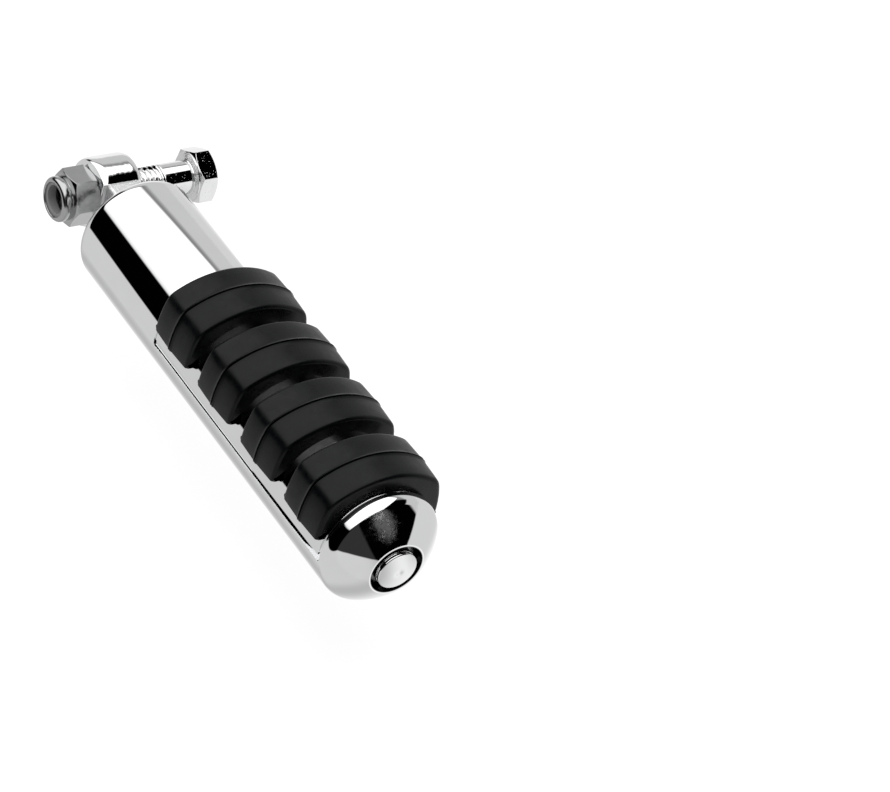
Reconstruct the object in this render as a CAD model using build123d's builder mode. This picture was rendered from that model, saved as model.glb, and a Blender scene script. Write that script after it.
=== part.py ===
from build123d import *
import os
from math import sqrt

# Folding foot peg: a chromed body with a window, a core that carries split rubber
# tread pads, and a male mount held by one long clamp screw and a pivot bolt.
# Origin: where the pivot axis crosses the peg's axis, inside the lug. +X runs along the peg to its outboard
# end, +Y along the pivot bolt to its head, +Z up through the tread. Millimetres.

# Pivot bolt and lock nut, 3/8-16
bolt_radius = 9.525 / 2
thread_pitch = 25.4 / 16
thread_depth = 0.92
hex_flats = 14.29
corner_slope = 0.58
head_height = 5.9
washer_face = 0.4
washer_face_radius = 6.85
bolt_length = 38.1
plain_shank = 9.7
head_seat = 26.2
nut_height = 11.2
nut_hex_height = 7.8
nut_turn = 25
collar_radius = 6.4
insert_height = 2.6
insert_radius = 5.6
insert_depth = 0.5
insert_bore = 4.0
lip_bore = 4.9
collar_edge = 0.9

# Male mount
lug_low = -5.2
lug_high = 6.8
tang_inset = 0.9
eye_radius = 10.0
back_face = -9.4
heel_drop = 12.6
heel_front = -1.0
heel_edges = (1.8, 3.0, 2.0)
tang_half_height = 7.7
tang_end = 19.0
boss_face = 16.3
boss_radius = 10.5
boss_seat = 22.0
spigot_radius = 8.0
spigot_end = 46.0
tapped_depth = 20.0
lug_edge = 0.9
boss_edge = 0.5
spigot_edge = 1.0

# Body shell
body_radius = 17.15
barrel_start = 15.5
barrel_edge = 3.9
shell_end = 160.5
rim_radius = 8.8
rim_edge = 0.7
shoulder = 152.6
shoulder_edge = 4.5
counterbore_radius = 11.5
recess_radius = 7.55
screw_bore = 5.1
window_start = 60.4
window_end = 149.9
window_corner = 0.8
sill = -2.3
trough_radius = 13.3
inner_wall = 141.0

# Clamp screw, 3/8-16 by 4 3/4, with the washers under its head and the cap over it
clamp_length = 120.65
clamp_head_radius = 7.15
clamp_head_height = 9.53
socket_flats = 7.94
socket_depth = 5.0
clamp_head_edge = 0.6
clamp_tip_edge = 0.9
screw_seat = 144.3
flat_washer_height = 1.6
lock_washer_height = 2.2
washer_bore = 5.15
lock_washer_radius = 7.1
lock_washer_split = 1.2
cap_radius = 5.75
cap_wall = 3.5
cap_groove = 2.3
cap_groove_width = 0.5
cap_groove_depth = 0.35
cap_rise = 1.1
cap_bulge = 0.76
cap_dimple = 0.6
plug_length = 4.0

# Core, isolators and tread pads
isolator_height = 1.2
isolator_bore = 5.4
fit_gap = 0.1
saddle_radius = 16.85
saddle_low = -1.8
saddle_high = -1.0
neck_radius = 16.0
pad_pairs = 4
pad_start = 60.9
pad_pitch = 23.3
pad_pair_length = 17.7
kerf = 0.5
pad_top = 21.7
pad_corner_y = 16.9
pad_corner_z = 15.8
pad_foot_y = 18.9
pad_foot_z = 3.3
pad_seat_radius = 15.6
pad_draft = 2.5
pad_edge = 0.7

# Radial clearance where parts turn on each other, and the end clearance of blind bores
running = 0.05
bore_relief = 1.0

# Where the stack under the clamp screw head ends
clamp_under_head = screw_seat + flat_washer_height + lock_washer_height
clamp_head_top = clamp_under_head + clamp_head_height
core_start = window_start + isolator_height
core_end = inner_wall - isolator_height
pads_end = pad_start + (pad_pairs - 1) * pad_pitch + pad_pair_length


def along(x):
    """Plane across the peg at x, facing outboard, local y up."""
    return Plane.YZ.offset(x)


def across(y):
    """Plane across the pivot axis at y, facing the bolt head."""
    return Plane(origin=(0, y, 0), x_dir=(1, 0, 0), z_dir=(0, 1, 0))


def save(piece, name):
    piece.part.label = name
    export_step(piece.part, f"parts/{name}.step")


def make_body_shell():
    """Barrel, belly and domed end in one casting, with the window in its upper side."""
    with BuildPart() as shell:
        with BuildSketch(Plane.XZ):
            with BuildLine():
                skin = FilletPolyline(
                    (barrel_start, counterbore_radius),
                    (barrel_start, body_radius),
                    (shoulder, body_radius),
                    (shell_end, rim_radius),
                    (shell_end, recess_radius),
                    radius=[barrel_edge, shoulder_edge, rim_edge],
                )
                Polyline(
                    skin @ 1,
                    (screw_seat, recess_radius),
                    (screw_seat, screw_bore),
                    (spigot_end + bore_relief, screw_bore),
                    (spigot_end + bore_relief, spigot_radius + running),
                    (boss_seat, spigot_radius + running),
                    (boss_seat, counterbore_radius),
                    skin @ 0,
                )
            make_face()
        revolve(axis=Axis.X)
        # window: open above the sill, square to the barrel and to the dome
        with BuildSketch(Plane.XZ):
            with BuildLine():
                FilletPolyline(
                    (window_start, 2 * body_radius),
                    (window_start, sill),
                    (window_end, sill),
                    (window_end, 2 * body_radius),
                    radius=[0, window_corner, window_corner, 0],
                    close=True,
                )
            make_face()
        extrude(amount=2 * body_radius, both=True, mode=Mode.SUBTRACT)
        with BuildSketch(along(window_start)):
            Circle(trough_radius)
        extrude(amount=window_end - window_start, mode=Mode.SUBTRACT)
        # wall that the clamp screw pulls on
        with BuildSketch(along(inner_wall)):
            Circle(trough_radius)
            Circle(recess_radius, mode=Mode.SUBTRACT)
        extrude(amount=window_end - inner_wall)
        with BuildSketch(along(inner_wall)):
            Circle(recess_radius)
            Circle(screw_bore, mode=Mode.SUBTRACT)
        extrude(amount=screw_seat - inner_wall)
    save(shell, "body_shell")


def make_pad_core():
    """Saddle that fills the window and carries the pads, on a round spine in the trough."""
    with BuildPart() as core:
        with BuildSketch(along(window_start + fit_gap)):
            Circle(saddle_radius)
        extrude(amount=window_end - window_start - 2 * fit_gap)
        # sill seam, a little wider towards the outboard end
        with BuildSketch(Plane.XZ):
            with BuildLine():
                Polyline(
                    (window_start, saddle_low),
                    (window_end, saddle_high),
                    (window_end, -body_radius),
                    (window_start, -body_radius),
                    close=True,
                )
            make_face()
        extrude(amount=body_radius, both=True, mode=Mode.SUBTRACT)
        with BuildSketch(along(core_end)):
            Circle(trough_radius + fit_gap)
        extrude(amount=window_end - core_end, mode=Mode.SUBTRACT)
        with BuildSketch(along(window_start)):
            Circle(trough_radius - fit_gap)
        extrude(amount=isolator_height, mode=Mode.SUBTRACT)
        with BuildSketch(along(core_start)):
            Circle(trough_radius - fit_gap)
        extrude(amount=core_end - core_start)
        # seats for the pad pairs, and the neck beyond the last one
        for pair in range(pad_pairs):
            with BuildSketch(along(pad_start + pair * pad_pitch)):
                with Locations((0, pad_foot_z)):
                    Rectangle(2 * pad_top, pad_top, align=(Align.CENTER, Align.MIN))
                Circle(pad_seat_radius, mode=Mode.SUBTRACT)
            extrude(amount=pad_pair_length, mode=Mode.SUBTRACT)
        with BuildSketch(along(pads_end)):
            Circle(body_radius)
            Circle(neck_radius, mode=Mode.SUBTRACT)
        extrude(amount=window_end - pads_end, mode=Mode.SUBTRACT)
        with BuildSketch(along(window_start)):
            Circle(screw_bore)
        extrude(amount=window_end - window_start, mode=Mode.SUBTRACT)
    save(core, "pad_core")


def make_isolator(name, start):
    """Rubber washer between the core and the shell."""
    with BuildPart() as isolator:
        with BuildSketch(along(start)):
            Circle(trough_radius - 2 * fit_gap)
            Circle(isolator_bore, mode=Mode.SUBTRACT)
        extrude(amount=isolator_height)
    save(isolator, name)


def make_tread_pad(name, kerf_face, outward):
    """One horseshoe pad: widest at its kerf face, drafted away from it."""
    base = Plane(origin=(kerf_face, 0, 0), x_dir=(0, outward, 0), z_dir=(outward, 0, 0))
    with BuildPart() as pad:
        with BuildSketch(base):
            with BuildLine():
                crown = ThreePointArc(
                    (pad_corner_y, pad_corner_z),
                    (0, pad_top),
                    (-pad_corner_y, pad_corner_z),
                )
                Polyline(
                    crown @ 1,
                    (-pad_foot_y, pad_foot_z),
                    (pad_foot_y, pad_foot_z),
                    crown @ 0,
                )
            make_face()
        extrude(amount=(pad_pair_length - kerf) / 2, taper=pad_draft)
        far_rim = pad.faces().sort_by(Axis.X)[-1 if outward > 0 else 0]
        fillet(far_rim.edges().sort_by(Axis.Z)[1:], pad_edge)
        with BuildSketch(base):
            Circle(pad_seat_radius)
        extrude(amount=pad_pair_length, mode=Mode.SUBTRACT)
    save(pad, name)


def make_tread_pads():
    for pair in range(pad_pairs):
        middle = pad_start + pair * pad_pitch + pad_pair_length / 2
        make_tread_pad(f"tread_pad_{pair + 1}_inboard", middle - kerf / 2, -1)
        make_tread_pad(f"tread_pad_{pair + 1}_outboard", middle + kerf / 2, 1)


def make_male_mount():
    """Eye with a square stop heel, narrower rough tang, round boss and tapped spigot."""
    eye_meets_tang = sqrt(eye_radius**2 - tang_half_height**2)
    eye_meets_back = sqrt(eye_radius**2 - back_face**2)
    with BuildPart() as mount:
        with BuildSketch(Plane.XZ.offset(-lug_high)):
            with BuildLine():
                crown = ThreePointArc(
                    (eye_meets_tang, tang_half_height),
                    (0, eye_radius),
                    (back_face, eye_meets_back),
                )
                FilletPolyline(
                    crown @ 1,
                    (back_face, -heel_drop),
                    (heel_front, -heel_drop),
                    (eye_meets_tang, -tang_half_height),
                    crown @ 0,
                    radius=[*heel_edges],
                )
            make_face()
        extrude(amount=lug_high - lug_low)
        sides = mount.faces().sort_by(Axis.Y)
        fillet(sides[0].edges() + sides[-1].edges(), lug_edge)
        with BuildSketch(across(lug_low + tang_inset)):
            Rectangle(tang_end, 2 * tang_half_height, align=(Align.MIN, Align.CENTER))
        extrude(amount=lug_high - lug_low - 2 * tang_inset)
        with BuildSketch(along(boss_face)):
            Circle(boss_radius)
        extrude(amount=boss_seat - boss_face)
        chamfer(mount.edges().filter_by(GeomType.CIRCLE).sort_by(Axis.X)[-1], boss_edge)
        with BuildSketch(along(boss_seat)):
            Circle(spigot_radius)
        extrude(amount=spigot_end - boss_seat)
        chamfer(mount.edges().filter_by(GeomType.CIRCLE).sort_by(Axis.X)[-1], spigot_edge)
        with BuildSketch(along(spigot_end)):
            Circle(bolt_radius + running)
        extrude(amount=-tapped_depth, mode=Mode.SUBTRACT)
        with BuildSketch(across(lug_low - bore_relief)):
            Circle(bolt_radius + running)
        extrude(amount=lug_high - lug_low + 2 * bore_relief, mode=Mode.SUBTRACT)
    save(mount, "male_mount")


def make_boss_ring():
    """Rubber ring that fills the counterbore round the boss."""
    with BuildPart() as ring:
        with BuildSketch(along(boss_face + boss_edge)):
            Circle(counterbore_radius)
            Circle(boss_radius + running, mode=Mode.SUBTRACT)
        extrude(amount=boss_seat - boss_face - boss_edge)
    save(ring, "boss_ring")


def make_clamp_screw():
    """Socket head cap screw down the middle of the peg."""
    with BuildPart() as screw:
        with BuildSketch(along(clamp_under_head)):
            Circle(clamp_head_radius)
        extrude(amount=clamp_head_height)
        chamfer(screw.edges().sort_by(Axis.X)[-1], clamp_head_edge)
        with BuildSketch(along(clamp_under_head)):
            Circle(bolt_radius)
        extrude(amount=-clamp_length)
        chamfer(screw.edges().sort_by(Axis.X)[0], clamp_tip_edge)
        with BuildSketch(along(clamp_head_top)):
            RegularPolygon(radius=socket_flats / 2, side_count=6, major_radius=False)
        extrude(amount=-socket_depth, mode=Mode.SUBTRACT)
    save(screw, "clamp_screw")


def make_flat_washer():
    with BuildPart() as washer:
        with BuildSketch(along(screw_seat)):
            Circle(recess_radius - fit_gap)
            Circle(washer_bore, mode=Mode.SUBTRACT)
        extrude(amount=flat_washer_height)
    save(washer, "flat_washer")


def make_lock_washer():
    """High-collar spring washer, split at the top."""
    with BuildPart() as washer:
        with BuildSketch(along(screw_seat + flat_washer_height)):
            Circle(lock_washer_radius)
            Circle(washer_bore, mode=Mode.SUBTRACT)
            with Locations((0, lock_washer_radius)):
                Rectangle(lock_washer_split, lock_washer_radius, mode=Mode.SUBTRACT)
        extrude(amount=lock_washer_height)
    save(washer, "lock_washer")


def make_screw_cap():
    """Domed cap with a groove round its wall and a hexagon plug for the screw's socket."""
    wall_top = clamp_head_top + cap_wall
    groove_low = clamp_head_top + cap_groove
    groove_high = groove_low + cap_groove_width
    with BuildPart() as cap:
        with BuildSketch(Plane.XZ):
            with BuildLine():
                wall = Polyline(
                    (clamp_head_top, 0),
                    (clamp_head_top, cap_radius),
                    (groove_low, cap_radius),
                    (groove_low, cap_radius - cap_groove_depth),
                    (groove_high, cap_radius - cap_groove_depth),
                    (groove_high, cap_radius),
                    (wall_top, cap_radius),
                )
                ThreePointArc(
                    wall @ 1,
                    (wall_top + cap_bulge * cap_rise, cap_radius / 2),
                    (wall_top + cap_rise, 0),
                )
                Line((wall_top + cap_rise, 0), wall @ 0)
            make_face()
        revolve(axis=Axis.X)
        with Locations((wall_top + cap_rise, 0, 0)):
            Sphere(cap_dimple, mode=Mode.SUBTRACT)
        with BuildSketch(along(clamp_head_top)):
            RegularPolygon(
                radius=socket_flats / 2 - fit_gap, side_count=6, major_radius=False
            )
        extrude(amount=-plug_length)
    save(cap, "screw_cap")


def make_hexagon(start, height, turned_ends, turn=0):
    """Hexagon along the pivot axis from y = start, its corners cut to a cone at some ends."""
    flat = hex_flats / 2
    beyond = hex_flats / sqrt(3) + 1
    with BuildPart() as blank:
        with BuildSketch(across(start)):
            RegularPolygon(radius=flat, side_count=6, major_radius=False, rotation=30 + turn)
        extrude(amount=height)
        for end, inward in turned_ends:
            with BuildSketch(Plane.XY):
                with BuildLine():
                    Polyline(
                        (flat, end),
                        (beyond, end),
                        (beyond, end + inward * corner_slope * (beyond - flat)),
                        close=True,
                    )
                make_face()
            revolve(axis=Axis.Y, mode=Mode.SUBTRACT)
    return blank.part


def make_pivot_bolt():
    """Hex cap screw with a plain shank and a grooved thread."""
    thread_start = head_seat - plain_shank
    tip = head_seat - bolt_length
    turns = int((thread_start - tip - thread_pitch) / thread_pitch)
    root = bolt_radius - thread_depth
    thread_top = bolt_radius - running
    crest = thread_pitch / 8
    flank = (thread_pitch - 2 * crest) / 2
    outline = [(0, head_seat), (bolt_radius, head_seat), (bolt_radius, thread_start)]
    for turn in range(turns):
        top = thread_start - turn * thread_pitch
        outline += [
            (root, top - flank),
            (root, top - flank - crest),
            (thread_top, top - 2 * flank - crest),
            (thread_top, top - thread_pitch),
        ]
    outline += [(root, tip), (0, tip)]
    head_base = head_seat + washer_face
    head_top = head_seat + head_height
    head = make_hexagon(head_base, head_top - head_base, [(head_base, 1), (head_top, -1)])
    with BuildPart() as bolt:
        with BuildSketch(Plane.XY):
            with BuildLine():
                Polyline(*outline, close=True)
            make_face()
        revolve(axis=Axis.Y)
        with BuildSketch(across(head_seat)):
            Circle(washer_face_radius)
        extrude(amount=washer_face)
        add(head)
    save(bolt, "pivot_bolt")


def make_pivot_nut():
    """Lock nut: hexagon against the lug, round collar with a groove for the insert."""
    end = lug_low - nut_height
    shelf = lug_low - nut_hex_height
    block = make_hexagon(shelf, nut_hex_height, [(shelf, 1), (lug_low, -1)], nut_turn)
    with BuildPart() as nut:
        add(block)
        with BuildSketch(across(end)):
            Circle(collar_radius)
        extrude(amount=nut_height - nut_hex_height)
        fillet(nut.edges().filter_by(GeomType.CIRCLE).sort_by(Axis.Y)[0], collar_edge)
        with BuildSketch(across(end + insert_depth)):
            Circle(insert_radius)
        extrude(amount=insert_height, mode=Mode.SUBTRACT)
        with BuildSketch(across(end)):
            Circle(lip_bore)
        extrude(amount=insert_depth, mode=Mode.SUBTRACT)
        with BuildSketch(across(end)):
            Circle(bolt_radius + running)
        extrude(amount=nut_height, mode=Mode.SUBTRACT)
    save(nut, "pivot_nut")


def make_nut_insert():
    """Nylon ring in the lock nut's collar."""
    with BuildPart() as insert:
        with BuildSketch(across(lug_low - nut_height + insert_depth)):
            Circle(insert_radius)
            Circle(insert_bore, mode=Mode.SUBTRACT)
        extrude(amount=insert_height)
    save(insert, "nut_insert")


os.makedirs("parts", exist_ok=True)
make_body_shell()
make_pad_core()
make_isolator("inboard_isolator", window_start)
make_isolator("outboard_isolator", core_end)
make_tread_pads()
make_male_mount()
make_boss_ring()
make_clamp_screw()
make_flat_washer()
make_lock_washer()
make_screw_cap()
make_pivot_bolt()
make_pivot_nut()
make_nut_insert()
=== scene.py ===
from math import acos, asin, atan2, cos, exp, pi, radians, sin, sqrt, tan

import bmesh
import bpy
from mathutils import Matrix, Vector


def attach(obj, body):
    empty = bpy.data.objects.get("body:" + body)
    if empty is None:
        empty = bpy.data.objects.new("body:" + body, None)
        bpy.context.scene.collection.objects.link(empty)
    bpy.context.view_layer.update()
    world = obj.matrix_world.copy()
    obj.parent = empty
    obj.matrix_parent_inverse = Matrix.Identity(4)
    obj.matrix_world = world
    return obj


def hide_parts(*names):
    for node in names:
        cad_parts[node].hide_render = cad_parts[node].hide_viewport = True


# Folding foot peg in the row frame: +X along the peg, +Y along the pivot bolt, +Z up
# through the tread. Sizes below are in millimetres; meshes are made in metres.
MM = 0.001
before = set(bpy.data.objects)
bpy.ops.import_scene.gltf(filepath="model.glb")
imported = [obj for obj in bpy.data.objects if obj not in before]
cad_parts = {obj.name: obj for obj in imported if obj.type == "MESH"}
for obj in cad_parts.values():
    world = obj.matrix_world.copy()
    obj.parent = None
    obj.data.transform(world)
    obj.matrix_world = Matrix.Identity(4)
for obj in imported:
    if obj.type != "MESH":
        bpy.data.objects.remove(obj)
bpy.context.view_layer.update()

ROUND_STEPS = 256


# ---------------------------------------------------------------- mesh helpers

def rounded(points, radii, steps=8):
    """Open outline with the corners between its ends rounded to the radii given."""
    outline = [Vector(points[0])]
    for before, corner, after, radius in zip(points, points[1:], points[2:], radii):
        corner = Vector(corner)
        back = (Vector(before) - corner).normalized()
        ahead = (Vector(after) - corner).normalized()
        if radius == 0:
            outline.append(corner)
            continue
        half = acos(max(-1, min(1, back.dot(ahead)))) / 2
        reach = radius / tan(half)
        middle = corner + (back + ahead).normalized() * (radius / sin(half))
        start = corner + back * reach - middle
        end = corner + ahead * reach - middle
        sweep = atan2(start.x * end.y - start.y * end.x, start.dot(end))
        for i in range(steps + 1):
            turn = sweep * i / steps
            outline.append(middle + Vector((
                start.x * cos(turn) - start.y * sin(turn),
                start.x * sin(turn) + start.y * cos(turn),
            )))
    outline.append(Vector(points[-1]))
    return outline


def make_object(name, bm, sharp=35):
    bmesh.ops.recalc_face_normals(bm, faces=bm.faces)
    mesh = bpy.data.meshes.new(name)
    bm.to_mesh(mesh)
    bm.free()
    obj = bpy.data.objects.new(name, mesh)
    bpy.context.scene.collection.objects.link(obj)
    smooth(obj, sharp)
    return obj


def smooth(obj, sharp=35):
    obj.data.shade_smooth()
    obj.data.set_sharp_from_angle(angle=radians(sharp))


def on_axis(axis, along, radius, angle):
    """A point round the X or Y axis, in metres."""
    if axis == "X":
        return Vector((along, radius * sin(angle), radius * cos(angle))) * MM
    return Vector((radius * cos(angle), along, radius * sin(angle))) * MM


def lathe(name, outline, axis="X", steps=ROUND_STEPS, sharp=35):
    """Closed outline of (along, radius) turned about the axis."""
    bm = bmesh.new()
    rings = []
    for along, radius in outline:
        if radius < 1e-6:
            rings.append([bm.verts.new(on_axis(axis, along, 0, 0))] * steps)
        else:
            rings.append([
                bm.verts.new(on_axis(axis, along, radius, 2 * pi * i / steps))
                for i in range(steps)
            ])
    for ring, following in zip(rings, rings[1:] + rings[:1]):
        for i in range(steps):
            j = (i + 1) % steps
            corners = [ring[i], ring[j], following[j], following[i]]
            corners = [v for k, v in enumerate(corners) if v not in corners[:k]]
            if len(corners) > 2:
                bm.faces.new(corners)
    return make_object(name, bm, sharp)


def loft(name, sections, sharp=35):
    """Skin through closed sections that all have the same number of points, with flat ends."""
    bm = bmesh.new()
    rings = [[bm.verts.new(Vector(p) * MM) for p in section] for section in sections]
    for ring, following in zip(rings, rings[1:]):
        for i in range(len(ring)):
            j = (i + 1) % len(ring)
            bm.faces.new((ring[i], ring[j], following[j], following[i]))
    bm.faces.new(rings[0])
    bm.faces.new(rings[-1][::-1])
    return make_object(name, bm, sharp)


def box(name, low, high):
    corners = [(x, y, z) for x in (low[0], high[0]) for y in (low[1], high[1]) for z in (low[2], high[2])]
    bm = bmesh.new()
    verts = [bm.verts.new(Vector(c) * MM) for c in corners]
    for face in ((0, 1, 3, 2), (4, 6, 7, 5), (0, 4, 5, 1), (2, 3, 7, 6), (0, 2, 6, 4), (1, 5, 7, 3)):
        bm.faces.new([verts[i] for i in face])
    return make_object(name, bm)


def rod(name, start, end, radius, axis="X", steps=ROUND_STEPS):
    return lathe(name, [(start, 0), (start, radius), (end, radius), (end, 0)], axis, steps)


def applied(obj, sharp=35):
    """Keeps the modified mesh in place of the modifiers."""
    graph = bpy.context.evaluated_depsgraph_get()
    mesh = bpy.data.meshes.new_from_object(obj.evaluated_get(graph))
    obj.modifiers.clear()
    old = obj.data
    obj.data = mesh
    bpy.data.meshes.remove(old)
    smooth(obj, sharp)
    return obj


def combine(obj, other, operation):
    change = obj.modifiers.new("combine", "BOOLEAN")
    change.operation = operation
    change.solver = "EXACT"
    change.object = other
    applied(obj)
    bpy.data.objects.remove(other)
    return obj


def cut(obj, *cutters):
    for cutter in cutters:
        combine(obj, cutter, "DIFFERENCE")
    return obj


def soften(obj, width, segments=3, angle=38):
    """Rounds the edges that turn by more than the angle."""
    edge = obj.modifiers.new("edge", "BEVEL")
    edge.width = width * MM
    edge.segments = segments
    edge.limit_method = "ANGLE"
    edge.angle_limit = radians(angle)
    edge.miter_outer = "MITER_ARC"
    edge.use_clamp_overlap = True
    return applied(obj, 60)


def join(obj, *others, sharp=35):
    bm = bmesh.new()
    for part in (obj, *others):
        bm.from_mesh(part.data)
    for part in others:
        bpy.data.objects.remove(part)
    bm.to_mesh(obj.data)
    bm.free()
    smooth(obj, sharp)
    return obj


def place(obj, node, body, material):
    obj.data.materials.clear()
    obj.data.materials.append(material)
    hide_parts(node)
    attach(obj, body)


# ------------------------------------------------------------ material helpers

class Nodes:
    """Short names for the nodes of one tree."""

    def __init__(self, tree):
        self.tree = tree

    def feed(self, socket, value):
        if isinstance(value, bpy.types.NodeSocket):
            self.tree.links.new(value, socket)
        else:
            socket.default_value = value

    def math(self, operation, *values):
        node = self.tree.nodes.new("ShaderNodeMath")
        node.operation = operation
        for socket, value in zip(node.inputs, values):
            self.feed(socket, value)
        return node.outputs[0]

    def dot(self, vector, axis):
        node = self.tree.nodes.new("ShaderNodeVectorMath")
        node.operation = "DOT_PRODUCT"
        self.feed(node.inputs[0], vector)
        node.inputs[1].default_value = axis
        return node.outputs["Value"]

    def ramp(self, value, low, high, out_low=0.0, out_high=1.0, kind="SMOOTHSTEP"):
        node = self.tree.nodes.new("ShaderNodeMapRange")
        node.interpolation_type = kind
        self.feed(node.inputs["Value"], value)
        node.inputs["From Min"].default_value = low
        node.inputs["From Max"].default_value = high
        node.inputs["To Min"].default_value = out_low
        node.inputs["To Max"].default_value = out_high
        return node.outputs["Result"]

    def noise(self, vector, scale, detail=3.0, roughness=0.5, distortion=0.0):
        node = self.tree.nodes.new("ShaderNodeTexNoise")
        self.feed(node.inputs["Vector"], vector)
        node.inputs["Scale"].default_value = scale
        node.inputs["Detail"].default_value = detail
        node.inputs["Roughness"].default_value = roughness
        node.inputs["Distortion"].default_value = distortion
        return node.outputs["Fac"]

    def mix(self, factor, first, second):
        node = self.tree.nodes.new("ShaderNodeMix")
        node.data_type = "RGBA"
        self.feed(node.inputs[0], factor)
        self.feed(node.inputs[6], first)
        self.feed(node.inputs[7], second)
        return node.outputs[2]

    def bump(self, height, distance, strength=1.0, normal=None):
        node = self.tree.nodes.new("ShaderNodeBump")
        node.inputs["Strength"].default_value = strength
        node.inputs["Distance"].default_value = distance * MM
        self.feed(node.inputs["Height"], height)
        if normal is not None:
            self.feed(node.inputs["Normal"], normal)
        return node.outputs["Normal"]


def new_material(name):
    """A material with a shader to fill in, its nodes, and the object's own coordinates."""
    material = bpy.data.materials.new(name)
    material.use_nodes = True
    tree = material.node_tree
    nodes = Nodes(tree)
    shader = tree.nodes["Principled BSDF"]
    place_in = tree.nodes.new("ShaderNodeTexCoord").outputs["Object"]
    return material, nodes, shader, place_in


def grey(value, blue=0.0):
    return (value, value + blue / 2, value + blue, 1)


def plated(name, tone, dull, wave=0.0, wave_scale=120.0, pits=0.0):
    """Bright plating: faint smears in the gloss, optional waviness and casting pits."""
    material, nodes, shader, where = new_material(name)
    shader.inputs["Metallic"].default_value = 1
    smear = nodes.noise(where, 90, 4, 0.6, 0.4)
    nodes.feed(shader.inputs["Base Color"], nodes.mix(smear, grey(tone * 0.9, 0.006), grey(tone, 0.006)))
    nodes.feed(shader.inputs["Roughness"], nodes.ramp(smear, 0.3, 0.75, dull * 0.6, dull * 1.5, "LINEAR"))
    normal = nodes.bump(nodes.noise(where, 2600, 2), 0.0012)
    if wave:
        normal = nodes.bump(nodes.noise(where, wave_scale, 2, 0.5, 0.3), wave, 1.0, normal)
    if pits:
        normal = nodes.bump(nodes.noise(where, 900, 4, 0.65), pits, 1.0, normal)
    nodes.feed(shader.inputs["Normal"], normal)
    return material


def moulded(name, dark, light, dull_low, dull_high, grain=0.01, gloss=0.5):
    """Rubber or plastic: cloudy tone, uneven sheen and a fine moulded grain."""
    material, nodes, shader, where = new_material(name)
    cloud = nodes.noise(where, 60, 4, 0.6)
    nodes.feed(shader.inputs["Base Color"], nodes.mix(cloud, grey(dark), grey(light, 0.001)))
    sheen = nodes.noise(where, 400, 3)
    nodes.feed(shader.inputs["Roughness"], nodes.ramp(sheen, 0.3, 0.7, dull_low, dull_high))
    shader.inputs["Specular IOR Level"].default_value = gloss
    normal = nodes.bump(nodes.noise(where, 1800, 3, 0.6), grain)
    nodes.feed(shader.inputs["Normal"], nodes.bump(nodes.noise(where, 150, 2), grain * 3, 1.0, normal))
    return material


def make_body_material():
    """Mirror plating with a handled, frosted patch on the domed end, and painted shade: near-black base
    colour in the bores and the screw recess.
    """
    material, nodes, shader, where = new_material("body_chrome")
    shader.inputs["Metallic"].default_value = 1
    smear = nodes.noise(where, 90, 4, 0.6, 0.4)
    plating = nodes.mix(smear, grey(0.84, 0.006), grey(0.93, 0.006))
    y = nodes.dot(where, (0, 1, 0))
    z = nodes.dot(where, (0, 0, 1))
    radius = nodes.math("SQRT", nodes.math("ADD", nodes.math("MULTIPLY", y, y), nodes.math("MULTIPLY", z, z)))
    # painted shade: the base colour goes near black within about 7.7 mm of the axis, so the screw recess and
    # bores read dark
    bore = nodes.ramp(radius, 0.00785, 0.00765)
    nodes.feed(shader.inputs["Base Color"], nodes.mix(bore, plating, grey(0.02)))
    away = nodes.tree.nodes.new("ShaderNodeVectorMath")
    away.operation = "DISTANCE"
    nodes.feed(away.inputs[0], where)
    away.inputs[1].default_value = (0.1571, -0.0046, 0.0127)
    frost = nodes.noise(where, 1100, 6, 0.8)
    fading = nodes.ramp(away.outputs["Value"], 0.0008, 0.0062, 1, 0, "LINEAR")
    patches = nodes.ramp(nodes.noise(where, 330, 3, 0.6), 0.34, 0.62, 0.15, 1)
    mottle = nodes.math("MULTIPLY", nodes.ramp(frost, 0.42, 0.62), patches)
    smudge = nodes.math("MULTIPLY", fading, mottle)
    nodes.feed(shader.inputs["Roughness"], nodes.ramp(smudge, 0, 1, 0.025, 0.5, "LINEAR"))
    normal = nodes.bump(nodes.math("MULTIPLY", frost, smudge), 0.03)
    nodes.feed(shader.inputs["Normal"], nodes.bump(nodes.noise(where, 60, 2, 0.5, 0.3), 0.004, 1.0, normal))
    return material


body_chrome = make_body_material()
core_chrome = plated("core_chrome", 0.9, 0.03, wave=0.05, wave_scale=170)
cap_chrome = plated("cap_chrome", 0.9, 0.09, wave=0.02, wave_scale=300)
screw_steel = plated("screw_steel", 0.25, 0.3, pits=0.01)
washer_steel = plated("washer_steel", 0.6, 0.25, pits=0.01)
tread_rubber = moulded("tread_rubber", 0.0004, 0.001, 0.26, 0.36, 0.004, 0.2)
seal_rubber = moulded("seal_rubber", 0.004, 0.008, 0.4, 0.55)
nylon = moulded("nylon", 0.16, 0.22, 0.4, 0.5)


def make_mount_material():
    """Plated casting: polished round the eye, left rough on the tang."""
    material, nodes, shader, where = new_material("mount_chrome")
    shader.inputs["Metallic"].default_value = 1
    smear = nodes.noise(where, 200, 4, 0.6)
    tang = nodes.ramp(nodes.dot(where, (1, 0, 0)), 0.0062, 0.0068)
    nodes.feed(shader.inputs["Base Color"], nodes.mix(smear, grey(0.82, 0.006), grey(0.92, 0.006)))
    nodes.feed(shader.inputs["Roughness"], nodes.ramp(tang, 0, 1, 0.04, 0.12, "LINEAR"))
    rough = nodes.ramp(tang, 0, 1, 0.02, 1.0, "LINEAR")
    normal = nodes.bump(nodes.math("MULTIPLY", nodes.noise(where, 1700, 4, 0.7), rough), 0.4)
    nodes.feed(shader.inputs["Normal"], nodes.bump(nodes.noise(where, 190, 2), 0.09, 1.0, normal))
    return material


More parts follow.
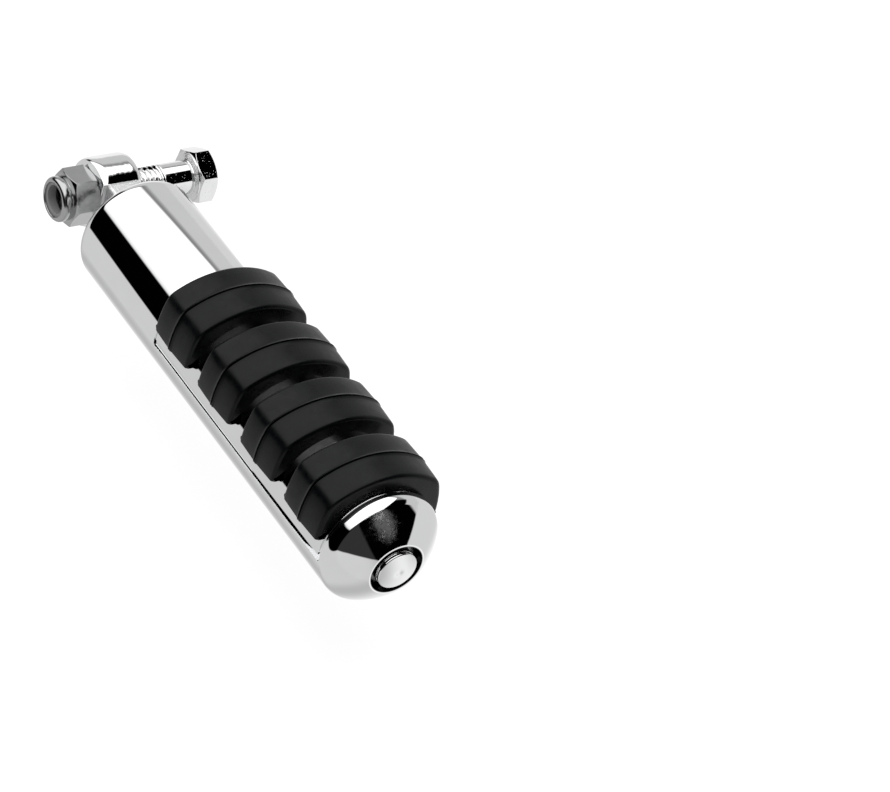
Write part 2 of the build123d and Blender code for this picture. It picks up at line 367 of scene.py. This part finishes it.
def make_turned_material(name, tone, dull, rings, rough, pits):
    """Plated steel: turned rings on the faces square to the pivot axis, specks elsewhere."""
    material, nodes, shader, where = new_material(name)
    shader.inputs["Metallic"].default_value = 1
    smear = nodes.noise(where, 350, 4, 0.6)
    nodes.feed(shader.inputs["Base Color"], nodes.mix(smear, grey(tone * 0.85, 0.004), grey(tone, 0.004)))
    nodes.feed(shader.inputs["Roughness"], nodes.ramp(smear, 0.3, 0.7, dull * 0.7, dull * 1.4, "LINEAR"))
    facing = nodes.tree.nodes.new("ShaderNodeTexCoord").outputs["Normal"]
    square = nodes.ramp(nodes.math("ABSOLUTE", nodes.dot(facing, (0, 1, 0))), 0.9, 0.97)
    x = nodes.dot(where, (1, 0, 0))
    z = nodes.dot(where, (0, 0, 1))
    radius = nodes.math("SQRT", nodes.math("ADD", nodes.math("MULTIPLY", x, x), nodes.math("MULTIPLY", z, z)))
    turning = nodes.math("SINE", nodes.math("MULTIPLY", radius, 2 * pi / (0.42 * MM)))
    normal = nodes.bump(nodes.math("MULTIPLY", turning, square), rings)
    specks = nodes.ramp(nodes.noise(where, 1900, 3, 0.6), 0.66, 0.74)
    normal = nodes.bump(specks, pits, 1.0, normal)
    nodes.feed(shader.inputs["Normal"], nodes.bump(nodes.noise(where, 300, 3, 0.6), rough, 1.0, normal))
    return material


mount_chrome = make_mount_material()
bolt_zinc = make_turned_material("bolt_zinc", 0.9, 0.04, 0.08, 0.004, 0.05)
nut_steel = make_turned_material("nut_steel", 0.5, 0.16, 0.01, 0.004, 0.004)


# ------------------------------------------------------------------ body shell

# radial clearance where parts turn on each other, and round parts that are fixed
RUNNING = 0.05
FIT = 0.1
BODY_RADIUS = 17.15
BOSS_SEAT = 22
COUNTERBORE = 11.5
SPIGOT_RADIUS = 8.0
SPIGOT_END = 46
SCREW_BORE = 5.1
SCREW_SEAT = 144.3
RECESS = 7.55
BARREL_START = 15.5
SHELL_END = 160.5
SHOULDER = 152.6
RIM_RADIUS = 8.2
CONE_BULGE = 0.5
CONE_STATIONS = (0.25, 0.35, 0.45, 0.55, 0.65, 0.75, 0.85, 0.92)
WINDOW = (60.4, 149.9)
INNER_WALL = 141.0
SILL = -2.3
TROUGH = 13.3


def make_body_shell():
    shoulder = Vector((SHOULDER, BODY_RADIUS))
    slope = Vector((SHELL_END, RIM_RADIUS)) - shoulder
    out = Vector((-slope.y, slope.x)).normalized()
    cone = [shoulder + slope * k + out * (4 * CONE_BULGE * k * (1 - k)) for k in CONE_STATIONS]
    skin = rounded(
        [(BOSS_SEAT, COUNTERBORE), (BARREL_START, COUNTERBORE), (BARREL_START, BODY_RADIUS),
         tuple(shoulder), *(tuple(p) for p in cone), (SHELL_END, RIM_RADIUS), (SHELL_END, RECESS),
         (SCREW_SEAT, RECESS)],
        [0.5, 3.9, 4.5, *[0] * len(cone), 0.25, 0.15], 16,
    )
    bore = [
        (SCREW_SEAT, SCREW_BORE), (SPIGOT_END + 1, SCREW_BORE),
        (SPIGOT_END + 1, SPIGOT_RADIUS + RUNNING), (BOSS_SEAT, SPIGOT_RADIUS + RUNNING),
    ]
    shell = lathe("body_shell", skin + [Vector(p) for p in bore])
    window = rounded(
        [(WINDOW[0], 30), (WINDOW[0], SILL), (WINDOW[1], SILL), (WINDOW[1], 30)], [0.8, 0.8], 10)
    opening = loft("opening", [[(p.x, y, p.y) for p in window] for y in (-30, 30)])
    cut(opening, rod("inner", INNER_WALL, WINDOW[1] + 1, TROUGH))
    cut(shell, opening, rod("trough", WINDOW[0], INNER_WALL, TROUGH))
    soften(shell, 0.3)
    place(shell, "body_shell", "peg", body_chrome)


# -------------------------------------------------------------- core and tread

SADDLE_RADIUS = 16.85
NECK_RADIUS = 16.0
ISOLATOR = 1.2
PAD_START = 60.9
PAD_PITCH = 23.3
PAIR_LENGTH = 17.7
KERF = 0.5
PAD_TOP = 21.7
PAD_CORNER = (17.0, 16.0)
PAD_FOOT = (18.9, 3.3)
PAD_SEAT = 15.6
PAD_BULGE = 0.7


def make_pad_core():
    pads_end = PAD_START + 3 * PAD_PITCH + PAIR_LENGTH
    start, end = WINDOW[0] + FIT, WINDOW[1] - FIT
    outline = rounded(
        [(start, SCREW_BORE), (start, SADDLE_RADIUS), (pads_end, SADDLE_RADIUS),
         (pads_end, NECK_RADIUS), (end, NECK_RADIUS), (end, SCREW_BORE)],
        [0.2, 0.2, 0.3, 0.2],
    )
    core = lathe("pad_core", outline)
    # the seam along the sill steps up at the middle and widens outboard
    below = loft("below", [
        [(50, y, -1.8), (114, y, -1.65), (115, y, -1.45), (160, y, -0.8), (160, y, -30), (50, y, -30)]
        for y in (-30, 30)
    ])
    cut(core, box("corner", (60, -30, -3), (61.2, 30, -0.5)))
    cut(core, below)
    soften(core, 0.25)
    join(core, rod("spine", WINDOW[0] + ISOLATOR, INNER_WALL - ISOLATOR, TROUGH - FIT))
    place(core, "pad_core", "peg", core_chrome)


def pad_section():
    """Outer side of the horseshoe, from foot over the crown to foot, with rounded corners."""
    rise = PAD_TOP - PAD_CORNER[1]
    radius = (PAD_CORNER[0] ** 2 + rise**2) / (2 * rise)
    spread = asin(PAD_CORNER[0] / radius)
    crown_steps = 48
    crown = [
        (radius * sin(a), PAD_TOP - radius + radius * cos(a))
        for a in (spread * (1 - 2 * i / crown_steps) for i in range(3, crown_steps - 2))
    ]
    foot = Vector(PAD_FOOT)
    run = Vector(PAD_CORNER) - foot
    out = Vector((run.y, -run.x)).normalized()
    facet = [foot + run * k + out * (4 * PAD_BULGE * k * (1 - k)) for k in (0.2, 0.4, 0.6, 0.8)]
    half = [(sqrt(PAD_SEAT**2 - PAD_FOOT[1] ** 2), PAD_FOOT[1]), PAD_FOOT, *facet, PAD_CORNER]
    points = [*half, *crown, *((-y, z) for y, z in reversed(half))]
    radii = [0.8, 0, 0, 0, 0, 5.5, *[0] * len(crown), 5.5, 0, 0, 0, 0, 0.8]
    return rounded(points, radii, 10)


def inset(section, depth):
    """The open section moved inwards by depth, its ends sliding up the seat."""
    moved = []
    for i, point in enumerate(section):
        before = section[max(i - 1, 0)]
        after = section[min(i + 1, len(section) - 1)]
        run = (after - before).normalized()
        moved.append(point + Vector((-run.y, run.x)) * depth)
    for end in (0, -1):
        side = 1 if section[end].x > 0 else -1
        height = section[end].y + depth
        moved[end] = Vector((side * sqrt(PAD_SEAT**2 - height**2), height))
    return moved


def make_tread_pad(name, kerf_face, outward):
    """Moulded half pad: a thin flared lip at the kerf, draft, then a rounded far rim."""
    section = pad_section()
    length = (PAIR_LENGTH - KERF) / 2
    rim = 1.2
    lip = 0.25
    stations = [(0.0, 0.1), (0.1, 0.0), (0.3, 0.08), (0.6, 0.2), (1.0, lip), (2.5, lip + 0.05),
                (5.0, lip + 0.14), (length - rim, lip + 0.24)]
    for i in range(1, 7):
        turn = radians(15 * i)
        stations.append((length - rim + rim * sin(turn), lip + 0.24 + rim * (1 - cos(turn))))
    sections = []
    for along, depth in stations:
        outer = inset(section, depth)
        seat = []
        start = atan2(outer[-1].x, outer[-1].y)
        for i in range(1, 40):
            a = start * (1 - 2 * i / 40)
            seat.append(Vector((PAD_SEAT * sin(a), PAD_SEAT * cos(a))))
        x = kerf_face + outward * along
        sections.append([(x, p.x, p.y) for p in outer + seat])
    return loft(name, sections, 50)


def make_tread():
    for pair in range(4):
        middle = PAD_START + pair * PAD_PITCH + PAIR_LENGTH / 2
        for side, outward in (("inboard", -1), ("outboard", 1)):
            node = f"tread_pad_{pair + 1}_{side}"
            pad = make_tread_pad(node, middle + outward * KERF / 2, outward)
            place(pad, node, "peg", tread_rubber)


def make_seals():
    low, high = 5.4, TROUGH - 2 * FIT
    for node, start in (("inboard_isolator", WINDOW[0]), ("outboard_isolator", INNER_WALL - ISOLATOR)):
        end = start + ISOLATOR
        ring = lathe(node, rounded([(start, low), (start, high), (end, high), (end, low)], [0.3, 0.3]))
        place(ring, node, "peg", seal_rubber)
    ring = lathe("boss_ring", rounded(
        [(BOSS_SEAT, 10.56), (16.8, 10.56), (16.8, 11.49), (BOSS_SEAT, 11.49)], [0.3, 0.3]))
    place(ring, "boss_ring", "peg", seal_rubber)


# ------------------------------------------------------------------ male mount

BOLT_RADIUS = 9.525 / 2
LUG = (-5.2, 6.8)
TANG_INSET = 0.9
TANG_HALF = 7.7
EYE_RADIUS = 10.0


def make_male_mount():
    """Eye and square heel with soft cast edges, narrower tang, round boss and spigot."""
    back, heel = -9.4, -12.6
    front = sqrt(EYE_RADIUS**2 - TANG_HALF**2)
    first = asin(front / EYE_RADIUS)
    last = -asin(-back / EYE_RADIUS)
    side = [Vector((EYE_RADIUS * sin(a), EYE_RADIUS * cos(a))) for a in
            (first + (last - first) * i / 60 for i in range(61))]
    side += rounded(
        [(back, 3.0), (back, heel), (-1.0, heel), (front, -TANG_HALF), (front, 7.4)], [1.8, 3.0, 2.0])
    reach, depth = 2.2, 0.8
    turns = [radians(5 * i) for i in range(3, 19)]
    profile = [(reach * (cos(radians(15)) - cos(t)), depth * (1 - sin(t))) for t in turns]
    stations = [(LUG[0] + y, d) for y, d in profile] + [(LUG[1] - y, d) for y, d in reversed(profile)]
    sections = []
    for y, inwards in stations:
        ring = []
        for i, p in enumerate(side):
            run = (side[(i + 1) % len(side)] - side[i - 1]).normalized()
            p = p + Vector((-run.y, run.x)) * inwards
            ring.append((p.x, y, p.y))
        sections.append(ring)
    mount = loft("male_mount", sections, 40)
    corners = rounded(
        [(LUG[0] + TANG_INSET, 0), (LUG[0] + TANG_INSET, TANG_HALF), (LUG[1] - TANG_INSET, TANG_HALF),
         (LUG[1] - TANG_INSET, -TANG_HALF), (LUG[0] + TANG_INSET, -TANG_HALF), (LUG[0] + TANG_INSET, -1)],
        [0.8, 0.8, 0.8, 0.8])
    tang = loft("tang", [[(x, p.x, p.y) for p in corners] for x in (5.3, 19)])
    cut(mount, rod("bore", -20, 20, BOLT_RADIUS + RUNNING, "Y", 128))
    boss = lathe("boss", rounded(
        [(16.3, 0), (16.3, 10.5), (BOSS_SEAT, 10.5), (BOSS_SEAT, SPIGOT_RADIUS),
         (SPIGOT_END, SPIGOT_RADIUS), (SPIGOT_END, 4.81), (26, 4.81), (26, 0)],
        [0.5, 0.3, 0.3, 0.9, 0, 0]))
    join(mount, tang, boss, sharp=13)
    place(mount, "male_mount", "mount", mount_chrome)


# ------------------------------------------------------------ clamp screw stack

FLAT_WASHER = 1.6
LOCK_WASHER = 2.2
WASHER_BORE = 5.15
CLAMP_LENGTH = 120.65
CLAMP_HEAD = (9.53, 7.15)
CAP_RADIUS = 5.75
CROWN_RADIUS = 5.0
CROWN_RISE = 0.85
CROWN_DIMPLE = 0.35


def make_clamp_stack():
    lock_seat = SCREW_SEAT + FLAT_WASHER
    under = lock_seat + LOCK_WASHER
    top = under + CLAMP_HEAD[0]
    screw = lathe("clamp_screw", rounded(
        [(under - CLAMP_LENGTH, 0), (under - CLAMP_LENGTH, BOLT_RADIUS), (under, BOLT_RADIUS),
         (under, CLAMP_HEAD[1]), (top, CLAMP_HEAD[1]), (top, 4.6), (top - 5, 4.6), (top - 5, 0)],
        [0.9, 0.2, 0.3, 0.6, 0.3, 0]))
    place(screw, "clamp_screw", "mount", screw_steel)
    flat = lathe("flat_washer", rounded(
        [(SCREW_SEAT, WASHER_BORE), (SCREW_SEAT, RECESS - FIT), (lock_seat, RECESS - FIT),
         (lock_seat, WASHER_BORE)], [0.3, 0.3]))
    place(flat, "flat_washer", "mount", washer_steel)
    lock = lathe("lock_washer", rounded(
        [(lock_seat, WASHER_BORE), (lock_seat, 7.1), (under, 7.1), (under, WASHER_BORE)], [0.2, 0.2]))
    cut(lock, box("split", (140, -0.6, 3), (150, 0.6, 9)))
    place(lock, "lock_washer", "mount", washer_steel)
    # the cap: a wall with a groove round it, then a low crown with a dimple
    foot, groove, crown = top + 0.02, CAP_RADIUS - 0.35, top + 3.75
    wall = rounded(
        [(foot, groove), (foot, CAP_RADIUS), (top + 2.3, CAP_RADIUS), (top + 2.3, groove),
         (top + 2.8, groove), (top + 2.8, CAP_RADIUS), (top + 3.5, CAP_RADIUS), (crown, CROWN_RADIUS)],
        [0.2, 0.12, 0.05, 0.05, 0.12, 0.45])
    dome = [(foot, 0), *wall]
    for i in range(1, 24):
        radius = CROWN_RADIUS * (1 - i / 24)
        rise = CROWN_RISE * (1 - (radius / CROWN_RADIUS) ** 2)
        dimple = CROWN_DIMPLE * exp(-(radius**2))
        dome.append((crown + rise - dimple, radius))
    dome.append((crown + CROWN_RISE - CROWN_DIMPLE, 0))
    cap = lathe("screw_cap", dome, sharp=60)
    plug = loft("plug", [
        [(x, 4.4 * sin(radians(60 * i)), 4.4 * cos(radians(60 * i))) for i in range(6)]
        for x in (top - 4, top + 0.1)
    ])
    join(cap, plug)
    smooth(cap, 50)
    place(cap, "screw_cap", "mount", cap_chrome)


# -------------------------------------------------------------- bolt and nut

HEX_FLAT = 14.29 / 2
HEX_CORNER = 14.29 / sqrt(3)
CORNER_SLOPE = 0.58
SMALL_STEPS = 192
HEAD_SEAT = 26.2
HEAD_HEIGHT = 5.9
WASHER_FACE = 0.4
BOLT_LENGTH = 38.1
PITCH = 25.4 / 16
NUT_HEIGHT = 11.2
NUT_HEX = 7.8
NUT_TURN = 25
# the nut's face stands this far off the lug, so that the two don't share a plane
NUT_GAP = 0.02


def hexagon(name, start, end, turn=0):
    """Hexagon along Y with its corners cut to a cone at both ends."""
    corners = [radians(60 * i + turn) for i in range(6)]
    block = loft(name, [
        [(HEX_CORNER * sin(a), y, HEX_CORNER * cos(a)) for a in corners] for y in (start, end)
    ])
    drop = CORNER_SLOPE * (HEX_CORNER + 1 - HEX_FLAT)
    beyond = HEX_CORNER + 1
    blank = lathe("blank", [
        (start, 0), (start, HEX_FLAT - 0.15), (start + drop, beyond),
        (end - drop, beyond), (end, HEX_FLAT - 0.15), (end, 0),
    ], "Y", SMALL_STEPS)
    combine(block, blank, "INTERSECT")
    return soften(block, 0.12, 2, 25)


def make_pivot_bolt():
    """Hex cap screw: plain shank, then a helical thread that runs out at the shank."""
    head = hexagon("pivot_bolt", HEAD_SEAT + WASHER_FACE, HEAD_SEAT + HEAD_HEIGHT)
    shank = rounded(
        [(16.7, 0), (16.7, BOLT_RADIUS - 0.45), (16.5, BOLT_RADIUS), (HEAD_SEAT, BOLT_RADIUS),
         (HEAD_SEAT, HEX_FLAT - 0.3), (HEAD_SEAT + 0.5, HEX_FLAT - 0.3), (HEAD_SEAT + 0.5, 0)],
        [0, 0.4, 0.5, 0.1, 0])
    shank = lathe("shank", shank, "Y", SMALL_STEPS)
    steps_round, steps_pitch = 96, 12
    tip, run_out = HEAD_SEAT - BOLT_LENGTH, 16.8
    bm = bmesh.new()
    rings = []
    count = int((run_out - tip) / PITCH * steps_pitch)
    for k in range(count + 1):
        y = tip + (run_out - tip) * k / count
        ring = []
        for i in range(steps_round):
            angle = 2 * pi * i / steps_round
            phase = (y / PITCH + angle / (2 * pi)) % 1.0
            wave = abs(phase - 0.5) * 2
            depth = 0.9 * min(1.0, max(0.0, (wave - 0.12) / 0.72))
            radius = BOLT_RADIUS - 0.04 - depth * min(1.0, (run_out - y) / PITCH)
            radius = min(radius, BOLT_RADIUS - 1.2 + (y - tip))
            ring.append(bm.verts.new(on_axis("Y", y, radius, angle)))
        rings.append(ring)
    for ring, following in zip(rings, rings[1:]):
        for i in range(steps_round):
            j = (i + 1) % steps_round
            bm.faces.new((ring[i], ring[j], following[j], following[i]))
    bm.faces.new(rings[0])
    bm.faces.new(rings[-1][::-1])
    thread = make_object("thread", bm, 50)
    join(head, shank, thread, sharp=15)
    place(head, "pivot_bolt", "pivot", bolt_zinc)


def make_pivot_nut():
    """Lock nut: hexagon against the lug, round collar rolled over a nylon ring."""
    seat = LUG[0]
    shelf = seat - NUT_HEX
    end = seat - NUT_HEIGHT
    face = seat - NUT_GAP
    nut = hexagon("pivot_nut", shelf, face, NUT_TURN)
    cut(nut, rod("bore", shelf - 1, seat + 1, BOLT_RADIUS + RUNNING, "Y", 128))
    collar = rounded(
        [(shelf + 1, 4.82), (shelf + 1, 6.2), (shelf - 0.7, 6.2), (shelf - 1.5, 6.4), (end, 6.4), (end, 4.9),
         (end + 0.5, 4.9), (end + 0.5, 5.6), (end + 3.1, 5.6), (end + 3.1, 4.82),
         (shelf + 1, 4.82)],
        [0, 0.6, 0.8, 1.3, 0.25, 0.1, 0, 0, 0])
    join(nut, lathe("collar", collar[:-1], "Y", SMALL_STEPS), sharp=15)
    place(nut, "pivot_nut", "pivot", nut_steel)
    insert = lathe("nut_insert", rounded(
        [(end + 3.1, 4.0), (end + 0.52, 4.0), (end + 0.52, 5.58), (end + 3.1, 5.58)],
        [0.3, 0.1]), "Y", SMALL_STEPS)
    place(insert, "nut_insert", "pivot", nylon)


make_body_shell()
make_pad_core()
make_tread()
make_seals()
make_male_mount()
make_clamp_stack()
make_pivot_bolt()
make_pivot_nut()


# ------------------------------------------------------------- studio and camera

ROOM_UP = (0.0, -0.292, 0.956)
ROOM_SIDE = (0.0, 0.956, 0.292)


def make_world():
    """Studio seen in the plating: an overhead soft box, a pale sweep to one side, dark beyond."""
    world = bpy.data.worlds.new("studio")
    bpy.context.scene.world = world
    world.use_nodes = True
    nodes = Nodes(world.node_tree)
    ray = world.node_tree.nodes.new("ShaderNodeTexCoord").outputs["Generated"]
    up = nodes.dot(ray, ROOM_UP)
    side = nodes.dot(ray, ROOM_SIDE)
    along = nodes.dot(ray, (1, 0, 0))
    height = nodes.math("MAXIMUM", up, 0.001)
    across = nodes.math("DIVIDE", side, height)
    down_room = nodes.math("DIVIDE", along, height)
    # right-hand edge of the soft box: it slants outwards, then is cut back at the front
    slant = nodes.math("SUBTRACT", across, nodes.math("MULTIPLY", down_room, 0.85))
    front = nodes.math("ADD", across, nodes.math("MULTIPLY", down_room, 0.8))
    soft_box = nodes.math("MULTIPLY", nodes.ramp(across, -1.02, -0.9), nodes.ramp(slant, 2.0, 1.55))
    soft_box = nodes.math("MULTIPLY", soft_box, nodes.ramp(front, 1.06, 0.96))
    soft_box = nodes.math("MULTIPLY", soft_box, nodes.ramp(down_room, 0.75, 0.6))
    soft_box = nodes.math("MULTIPLY", soft_box, nodes.ramp(across, -1.0, -0.5, 0.85, 1.6))
    sweep = nodes.ramp(slant, 1.95, 2.65, 0.26, 0.62)
    sweep = nodes.math("MULTIPLY", sweep, nodes.ramp(along, 0.0, -0.12))
    low_sweep = nodes.math("MULTIPLY", nodes.ramp(across, 2.2, 2.6, 0, 0.6), nodes.ramp(along, 0.42, 0.36))
    sweep = nodes.math("MAXIMUM", sweep, low_sweep)
    sweep = nodes.math("MULTIPLY", sweep, nodes.ramp(side, 0.1, 0.2))
    sweep = nodes.math("MULTIPLY", sweep, nodes.ramp(up, -0.001, 0.001))
    # the bench below the peg, brightest to the side the sweep is on
    bench = nodes.math("ADD", nodes.ramp(side, -0.55, -0.28, 0.66, 0.52),
                       nodes.ramp(side, -0.25, 0.4, 0, 0.45))
    bench = nodes.math("ADD", bench, nodes.ramp(side, 0.42, 0.75, 0, -0.27))
    ground = nodes.math("MULTIPLY", nodes.ramp(up, 0.02, -0.02), bench)
    # dim shapes beyond the domed end
    patch = nodes.ramp(nodes.dot(ray, (0.785, 0.084, 0.611)), 0.955, 0.985, 0, 0.12)
    wedge = nodes.math("MULTIPLY", nodes.ramp(side, -0.3, -0.36, 0, 0.032), nodes.ramp(along, 0.5, 0.6))
    patch = nodes.math("ADD", patch, wedge)
    total = nodes.math("ADD", nodes.math("MAXIMUM", soft_box, sweep), nodes.math("ADD", ground, patch))
    total = nodes.math("ADD", total, 0.0004)
    background = world.node_tree.nodes["Background"]
    nodes.feed(background.inputs["Color"], total)


def make_stage():
    """Pale floor under the peg and a pale surround; the plating reflects the world instead."""
    bm = bmesh.new()
    bmesh.ops.create_grid(bm, x_segments=1, y_segments=1, size=6)
    floor = make_object("floor", bm)
    floor.location.z = -0.045
    material, nodes, shader, where = new_material("floor_paper")
    nodes.feed(shader.inputs["Base Color"], nodes.mix(nodes.noise(where, 30), grey(0.1), grey(0.12)))
    shader.inputs["Roughness"].default_value = 0.9
    shader.inputs["Emission Color"].default_value = (1, 1, 1, 1)
    shader.inputs["Emission Strength"].default_value = 0.9
    floor.data.materials.append(material)
    floor.visible_glossy = False
    bm = bmesh.new()
    bmesh.ops.create_icosphere(bm, subdivisions=4, radius=5)
    surround = make_object("surround", bm)
    material, nodes, shader, where = new_material("surround_paper")
    shader.inputs["Base Color"].default_value = (0, 0, 0, 1)
    shader.inputs["Specular IOR Level"].default_value = 0
    shader.inputs["Emission Color"].default_value = (1, 1, 1, 1)
    shader.inputs["Emission Strength"].default_value = 0.95
    surround.data.materials.append(material)
    surround.visible_glossy = False
    surround.visible_diffuse = False
    surround.visible_shadow = False


def make_lights():
    lamp = bpy.data.lights.new("overhead", "AREA")
    lamp.shape = "RECTANGLE"
    lamp.size = 1.2
    lamp.size_y = 1.2
    lamp.energy = 12
    overhead = bpy.data.objects.new("overhead", lamp)
    bpy.context.scene.collection.objects.link(overhead)
    overhead.location = (0.05, -0.2, 1.2)
    overhead.rotation_euler = (Vector((0.05, 0, 0)) - overhead.location).to_track_quat("-Z", "Y").to_euler()
    overhead.visible_glossy = False
    overhead.visible_camera = False


def make_camera():
    eye = Vector((0.8786, -0.6464, 0.8040))
    right = Vector((0.507, 0.831, 0.231))
    look = Vector((-0.589, 0.529, -0.611)).normalized()
    right = (right - look * look.dot(right)).normalized()
    upright = right.cross(look)
    camera = bpy.data.objects.new("camera", bpy.data.cameras.new("camera"))
    bpy.context.scene.collection.objects.link(camera)
    turn = Matrix((right, upright, -look)).transposed().to_4x4()
    camera.matrix_world = Matrix.Translation(eye) @ turn
    camera.data.sensor_width = 36
    camera.data.lens = 198.2
    camera.data.clip_start = 0.05
    camera.data.clip_end = 50
    bpy.context.scene.camera = camera


make_world()
make_stage()
make_lights()
make_camera()
bpy.context.scene.view_settings.view_transform = "Standard"
